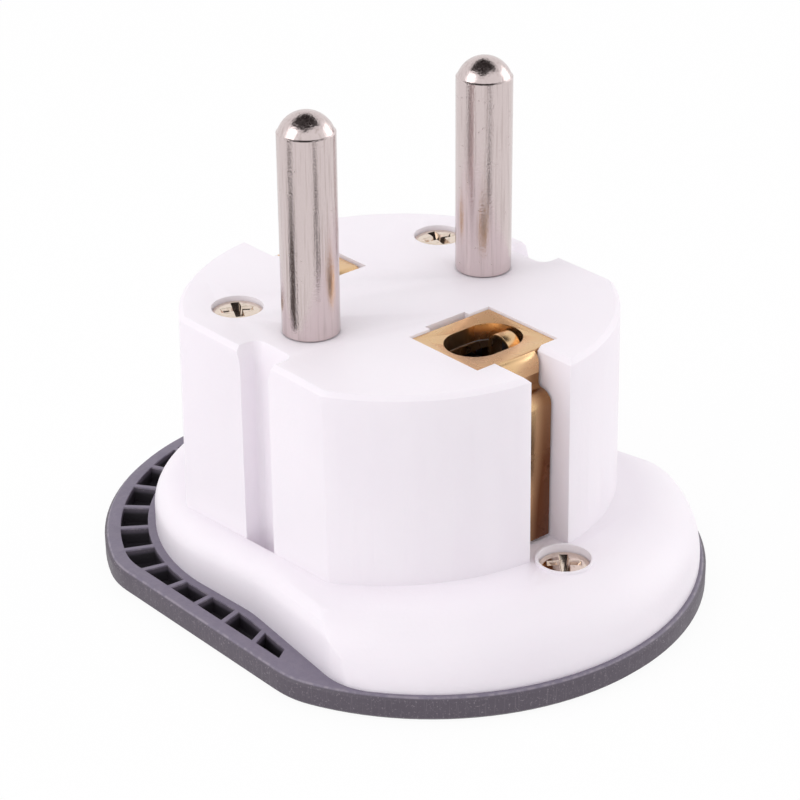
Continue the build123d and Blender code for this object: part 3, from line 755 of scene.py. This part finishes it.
@dataclass
class SoftenedPart:
    """A CAD node whose sharp edges get the small round that a moulding or a stamping has."""

    node: str
    slot: Slot
    edge: float
    segments: int = 2
    angle: float = 32.0
    smooth_angle: float = 28.0
    weld: float = 0.002 * MM
    flat_angle: float = 1.0

    def build(self) -> bpy.types.Object:
        """Makes the rounded copy and lets it stand for the node.

        Returns:
            The new piece.
        """
        activate(frame["nodes"][self.node])
        bpy.ops.object.duplicate()
        piece = bpy.context.object
        piece.name = f"{self.node}_soft"
        piece.parent = None
        piece.matrix_world = Matrix.Identity(4)
        for key in [name for name in piece.keys() if name.startswith("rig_")]:
            del piece[key]
        bpy.ops.object.mode_set(mode="EDIT")
        bpy.ops.mesh.select_all(action="SELECT")
        bpy.ops.mesh.remove_doubles(threshold=self.weld)
        bpy.ops.mesh.dissolve_limited(angle_limit=math.radians(self.flat_angle))
        bpy.ops.object.mode_set(mode="OBJECT")
        round_edges(piece, self.edge, self.segments, self.angle, self.smooth_angle)
        dress(piece, self.slot)
        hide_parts(self.node)
        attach(piece, BODY)
        LOG.info("softened %s: %d faces", self.node, len(piece.data.polygons))
        return piece


def pick_faces(piece: bpy.types.Object, wanted: Callable[[Vector, Vector], bool]) -> int:
    """Selects, in edit mode, only the faces that pass a test.

    Args:
        piece: The object in edit mode.
        wanted: Takes a face's middle and normal and says whether it is picked.

    Returns:
        How many faces are selected.
    """
    mesh = bmesh.from_edit_mesh(piece.data)
    chosen = [face for face in mesh.faces if wanted(face.calc_center_median(), face.normal)]
    for face in mesh.faces:
        face.select_set(False)
    for face in chosen:
        face.select_set(True)
    bmesh.update_edit_mesh(piece.data)
    return len(chosen)


@dataclass
class CrossHeadScrew:
    """A domed screw with a tapered cross recess and a ridged shank, in the place of a plain one."""

    node: str
    turn: float
    head_height: float = 1.25 * MM
    dome: float = 0.25 * MM
    dome_steps: int = 6
    dome_turn: float = 72.0
    cross_length: float = 3.1 * MM
    cross_width: float = 0.8 * MM
    cross_depth: float = 1.15 * MM
    cross_taper: tuple[float, float, float] = (0.3, 0.45, 1.0)
    cross_rise: float = 0.1 * MM
    core: float = 1.12 * MM
    ridge: float = 1.4 * MM
    pitch: float = 0.9 * MM
    point: float = 1.2 * MM
    point_share: float = 0.16
    edge: float = 0.05 * MM
    segments: int = 2
    edge_angle: float = 40.0
    smooth_angle: float = 32.0
    sides: int = 48

    def build(self) -> bpy.types.Object:
        """Models the screw and lets it stand for its node.

        Returns:
            The screw's object.
        """
        low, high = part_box(self.node)
        middle = Vector(((low.x + high.x) / 2, (low.y + high.y) / 2, high.z))
        radius = (high.x - low.x) / 2
        piece = self.head(middle, radius)
        self.shank(piece, middle, radius, low.z)
        bpy.ops.object.mode_set(mode="OBJECT")
        self.cut_cross(piece, middle)
        activate(piece)
        round_edges(piece, self.edge, self.segments, self.edge_angle, self.smooth_angle)
        bpy.ops.object.transform_apply(location=True, rotation=True, scale=True)
        dress(piece, Slot.SCREW)
        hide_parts(self.node)
        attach(piece, BODY)
        LOG.info("screw %s: %d faces", self.node, len(piece.data.polygons))
        return piece

    def head(self, middle: Vector, radius: float) -> bpy.types.Object:
        """Turns the head: a short drum with a dome drawn up in steps.

        Args:
            middle: The top of the head.
            radius: The head's radius.

        Returns:
            The piece, left in edit mode.
        """
        deselect_all()
        drum = self.head_height - self.dome
        place = middle - Vector((0.0, 0.0, self.dome + drum / 2))
        bpy.ops.mesh.primitive_cylinder_add(
            vertices=self.sides, radius=radius, depth=drum, location=place
        )
        piece = bpy.context.object
        piece.name = f"{self.node}_detailed"
        bpy.ops.object.transform_apply(location=True, rotation=False, scale=False)
        bpy.ops.object.mode_set(mode="EDIT")
        pick_faces(piece, lambda spot, normal: normal.z > UPRIGHT)
        whole = math.radians(self.dome_turn)
        last_rise, last_share = 0.0, 1.0
        for step in range(1, self.dome_steps + 1):
            turn = whole * step / self.dome_steps
            rise = self.dome * math.sin(turn) / math.sin(whole)
            share = math.cos(turn)
            draw_out(rise - last_rise, share / last_share, middle)
            last_rise, last_share = rise, share
        return piece

    def shank(self, piece: bpy.types.Object, middle: Vector, radius: float, low: float) -> None:
        """Draws the ridged shank and its point down from the head's seat.

        Args:
            piece: The piece in edit mode.
            middle: The top of the head.
            radius: The head's radius.
            low: The height of the screw's point.
        """
        seat = middle.z - self.head_height
        pick_faces(piece, lambda spot, normal: normal.z < -UPRIGHT)
        bpy.ops.mesh.inset(thickness=radius - self.core)
        length = seat - low - self.point
        turns = int(length / self.pitch)
        half = length / (2 * turns)
        for _ in range(turns):
            for size in (self.ridge / self.core, self.core / self.ridge):
                draw_out(-half, size, middle)
        draw_out(-self.point, self.point_share, middle)

    def cut_cross(self, piece: bpy.types.Object, middle: Vector) -> None:
        """Cuts the tapered cross into the head.

        Args:
            piece: The screw.
            middle: The top of the head.
        """
        deselect_all()
        place = middle + Vector((0.0, 0.0, (self.cross_rise - self.cross_depth) / 2))
        bpy.ops.mesh.primitive_cube_add(size=1.0, location=place)
        cutter = bpy.context.object
        bpy.ops.object.transform_apply(location=True, rotation=False, scale=False)
        bpy.ops.object.mode_set(mode="EDIT")
        size = (self.cross_length, self.cross_width, self.cross_depth + self.cross_rise)
        bpy.ops.transform.resize(value=size, center_override=place)
        pick_faces(cutter, lambda spot, normal: normal.z < -UPRIGHT)
        bpy.ops.transform.resize(value=self.cross_taper, center_override=place)
        bpy.ops.mesh.select_all(action="SELECT")
        bpy.ops.mesh.duplicate()
        bpy.ops.transform.rotate(value=math.pi / 2, orient_axis="Z", center_override=place)
        bpy.ops.mesh.select_all(action="SELECT")
        turn = math.radians(self.turn)
        bpy.ops.transform.rotate(value=turn, orient_axis="Z", center_override=place)
        activate(piece)
        cut = piece.modifiers.new("cross", "BOOLEAN")
        cut.operation = "DIFFERENCE"
        cut.solver = "EXACT"
        cut.use_self = True
        cut.object = cutter
        bpy.ops.object.modifier_apply(modifier=cut.name)
        bpy.data.objects.remove(cutter)


@dataclass
class StudioCamera:
    """The camera at the photograph's place."""

    eye: Point = (-128.218 * MM, -149.475 * MM, 115.341 * MM)
    aim: Point = (-2.372 * MM, -2.723 * MM, 16.773 * MM)
    roll: float = -0.536
    lens: float = 116.546
    sensor: float = 36.0
    clip_start: float = 0.01

    def build(self) -> bpy.types.Object:
        """Creates the camera.

        Returns:
            The camera's object.
        """
        data = bpy.data.cameras.new("studio_camera")
        data.lens = self.lens
        data.sensor_width = self.sensor
        data.clip_start = self.clip_start
        camera = bpy.data.objects.new("studio_camera", data)
        bpy.context.scene.collection.objects.link(camera)
        roll = Matrix.Rotation(math.radians(self.roll), 4, "Z")
        camera.matrix_world = Matrix.Translation(self.eye) @ aimed(self.eye, self.aim) @ roll
        bpy.context.scene.camera = camera
        return camera


@dataclass
class SoftBox:
    """A square area lamp that faces the object."""

    name: str
    place: Point
    size: float
    power: float
    tint: tuple[float, float, float] = (1.0, 1.0, 1.0)
    aim: Point = (0.0, 0.0, 15 * MM)

    def build(self) -> bpy.types.Object:
        """Creates the lamp.

        Returns:
            The lamp's object.
        """
        data = bpy.data.lights.new(self.name, "AREA")
        data.shape = "SQUARE"
        data.size = self.size
        data.energy = self.power
        data.color = self.tint
        lamp = bpy.data.objects.new(self.name, data)
        bpy.context.scene.collection.objects.link(lamp)
        lamp.matrix_world = Matrix.Translation(self.place) @ aimed(self.place, self.aim)
        return lamp


def dress_card(card: bpy.types.Object, tint: Colour) -> None:
    """Makes a card a matte one that only mirrors see.

    Args:
        card: The card.
        tint: Its colour.
    """
    material = bpy.data.materials.new(card.name)
    material.use_nodes = True
    shader = material.node_tree.nodes["Principled BSDF"]
    shader.inputs["Base Color"].default_value = tint
    shader.inputs["Roughness"].default_value = 1.0
    shader.inputs["Specular IOR Level"].default_value = 0.0
    card.data.materials.append(material)
    card.visible_camera = False
    card.visible_diffuse = False
    card.visible_shadow = False
    card.visible_transmission = False


@dataclass
class Flag:
    """A dark card on the floor that only mirrors see, for the dark bands of round metal."""

    name: str
    heading: float
    spread: float
    near: float = 44 * MM
    far: float = 110 * MM
    tint: Colour = rgb(70, 60, 58)
    lift: float = 0.3 * MM
    camera_side: Range = (-128.2 * MM, -149.5 * MM)

    def build(self) -> bpy.types.Object:
        """Creates the card.

        Returns:
            The card's object.
        """
        deselect_all()
        across, along = self.camera_side
        middle = math.atan2(along, across) + math.radians(self.heading)
        half = math.radians(self.spread / 2)
        reach = (self.near + self.far) / 2
        bpy.ops.mesh.primitive_plane_add(size=1.0)
        card = bpy.context.object
        card.name = self.name
        bpy.ops.object.mode_set(mode="EDIT")
        bpy.ops.transform.resize(value=(self.far - self.near, 2 * reach * math.tan(half), 1.0))
        bpy.ops.object.mode_set(mode="OBJECT")
        turn = Matrix.Rotation(middle, 4, "Z")
        card.matrix_world = turn @ Matrix.Translation((reach, 0.0, self.lift))
        dress_card(card, self.tint)
        return card


@dataclass
class Studio:
    """Pale floor, white surround and soft lamps."""

    floor_size: float = 3.0
    floor_colour: Colour = rgb(244, 242, 244)
    ambient: float = 0.84
    lamps: list[SoftBox] = field(default_factory=lambda: [
        SoftBox("left_softbox", (-0.40, 0.14, 0.28), 0.30, 0.50),
        SoftBox("right_softbox", (0.42, -0.16, 0.14), 0.30, 0.45),
        SoftBox("top_softbox", (-0.1, 0.05, 0.5), 0.35, 0.28),
    ])
    flags: list[Flag] = field(default_factory=lambda: [
        Flag("flag_left", -65.0, 22.0),
        Flag("flag_right", 26.0, 14.0),
        # flag_strip: a brown card that only mirrors see, giving the brass strip in its groove a
        # dark brown reflection.
        Flag("flag_strip", 70.0, 34.0, 32 * MM, 58 * MM, rgb(48, 28, 16)),
    ])
    canopy_place: Point = (0.0, 0.03, 0.25)
    canopy_size: float = 0.3
    canopy_tint: Colour = rgb(40, 34, 34)
    floor_drop: float = 0.02 * MM
    floor_roughness: float = 0.9
    floor_white: float = 0.93

    def build(self) -> None:
        """Creates the floor, the surround and the lamps."""
        self.floor()
        self.surround()
        for lamp in self.lamps:
            lamp.build()
        for flag in self.flags:
            flag.build()
        self.canopy()

    def canopy(self) -> None:
        """Hangs a dark card overhead that only mirrors see, for the dark patch in round tips."""
        deselect_all()
        bpy.ops.mesh.primitive_plane_add(size=self.canopy_size, location=self.canopy_place)
        card = bpy.context.object
        card.name = "canopy"
        dress_card(card, self.canopy_tint)

    def floor(self) -> None:
        """Creates a plain floor that shows white but keeps the object's shadow."""
        deselect_all()
        place = (0.0, 0.0, -self.floor_drop)
        bpy.ops.mesh.primitive_plane_add(size=self.floor_size, location=place)
        plane = bpy.context.object
        plane.name = "studio_floor"
        material = bpy.data.materials.new("studio_floor")
        material.use_nodes = True
        nodes = NodeTree(material.node_tree)
        shader = material.node_tree.nodes["Principled BSDF"]
        output = material.node_tree.nodes["Material Output"]
        shader.inputs["Base Color"].default_value = self.floor_colour
        shader.inputs["Roughness"].default_value = self.floor_roughness
        glow = nodes.add("Emission")
        glow.inputs["Color"].default_value = WHITE
        surface = output.inputs["Surface"]
        nodes.split_rays(shader.outputs[0], glow.outputs[0], surface, self.floor_white)
        plane.data.materials.append(material)

    def surround(self) -> None:
        """Makes the world white to the camera and a soft even light elsewhere."""
        world = bpy.data.worlds.new("studio_surround")
        world.use_nodes = True
        bpy.context.scene.world = world
        nodes = NodeTree(world.node_tree)
        backdrop = world.node_tree.nodes["Background"]
        output = world.node_tree.nodes["World Output"]
        backdrop.inputs["Color"].default_value = WHITE
        backdrop.inputs["Strength"].default_value = self.ambient
        plain = nodes.add("Background")
        plain.inputs["Color"].default_value = WHITE
        nodes.split_rays(backdrop.outputs[0], plain.outputs[0], output.inputs["Surface"])


@dataclass
class PlugAdapter:
    """The whole adapter: which nodes are softened and which keep their own mesh."""

    softened: list[SoftenedPart] = field(default_factory=lambda: [
        SoftenedPart("housing", Slot.WHITE, 0.18 * MM),
        SoftenedPart("socket_cover", Slot.DARK, 0.07 * MM),
        SoftenedPart("front_earth_contact", Slot.BRASS, 0.08 * MM),
        SoftenedPart("back_earth_contact", Slot.BRASS, 0.08 * MM),
        SoftenedPart("earth_pin_spring", Slot.BRASS, 0.05 * MM),
    ])
    screws: list[CrossHeadScrew] = field(default_factory=lambda: [
        CrossHeadScrew("face_screw_left", 28.0),
        CrossHeadScrew("face_screw_right", 12.0),
        CrossHeadScrew("flange_screw", 40.0),
    ])

    def build(self) -> None:
        """Softens the mouldings and dresses every other node."""
        for part in self.softened + self.screws:
            part.build()
        done = {part.node for part in self.softened + self.screws}
        slots = {row["node"]: Slot(row["material_slot"]) for row in frame["record"]["subparts"]}
        for name, node in frame["nodes"].items():
            if name not in done:
                dress(node, slots[name])
                LOG.info("dressed %s as %s", name, slots[name].value)


def main() -> None:
    """Builds the adapter, the studio and the camera."""
    logging.basicConfig(level=logging.INFO, format="%(name)s: %(message)s")
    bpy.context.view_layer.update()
    bpy.context.scene.view_settings.view_transform = "Standard"
    PlugAdapter().build()
    StudioCamera().build()
    Studio().build()


if __name__ == "__main__":
    main()
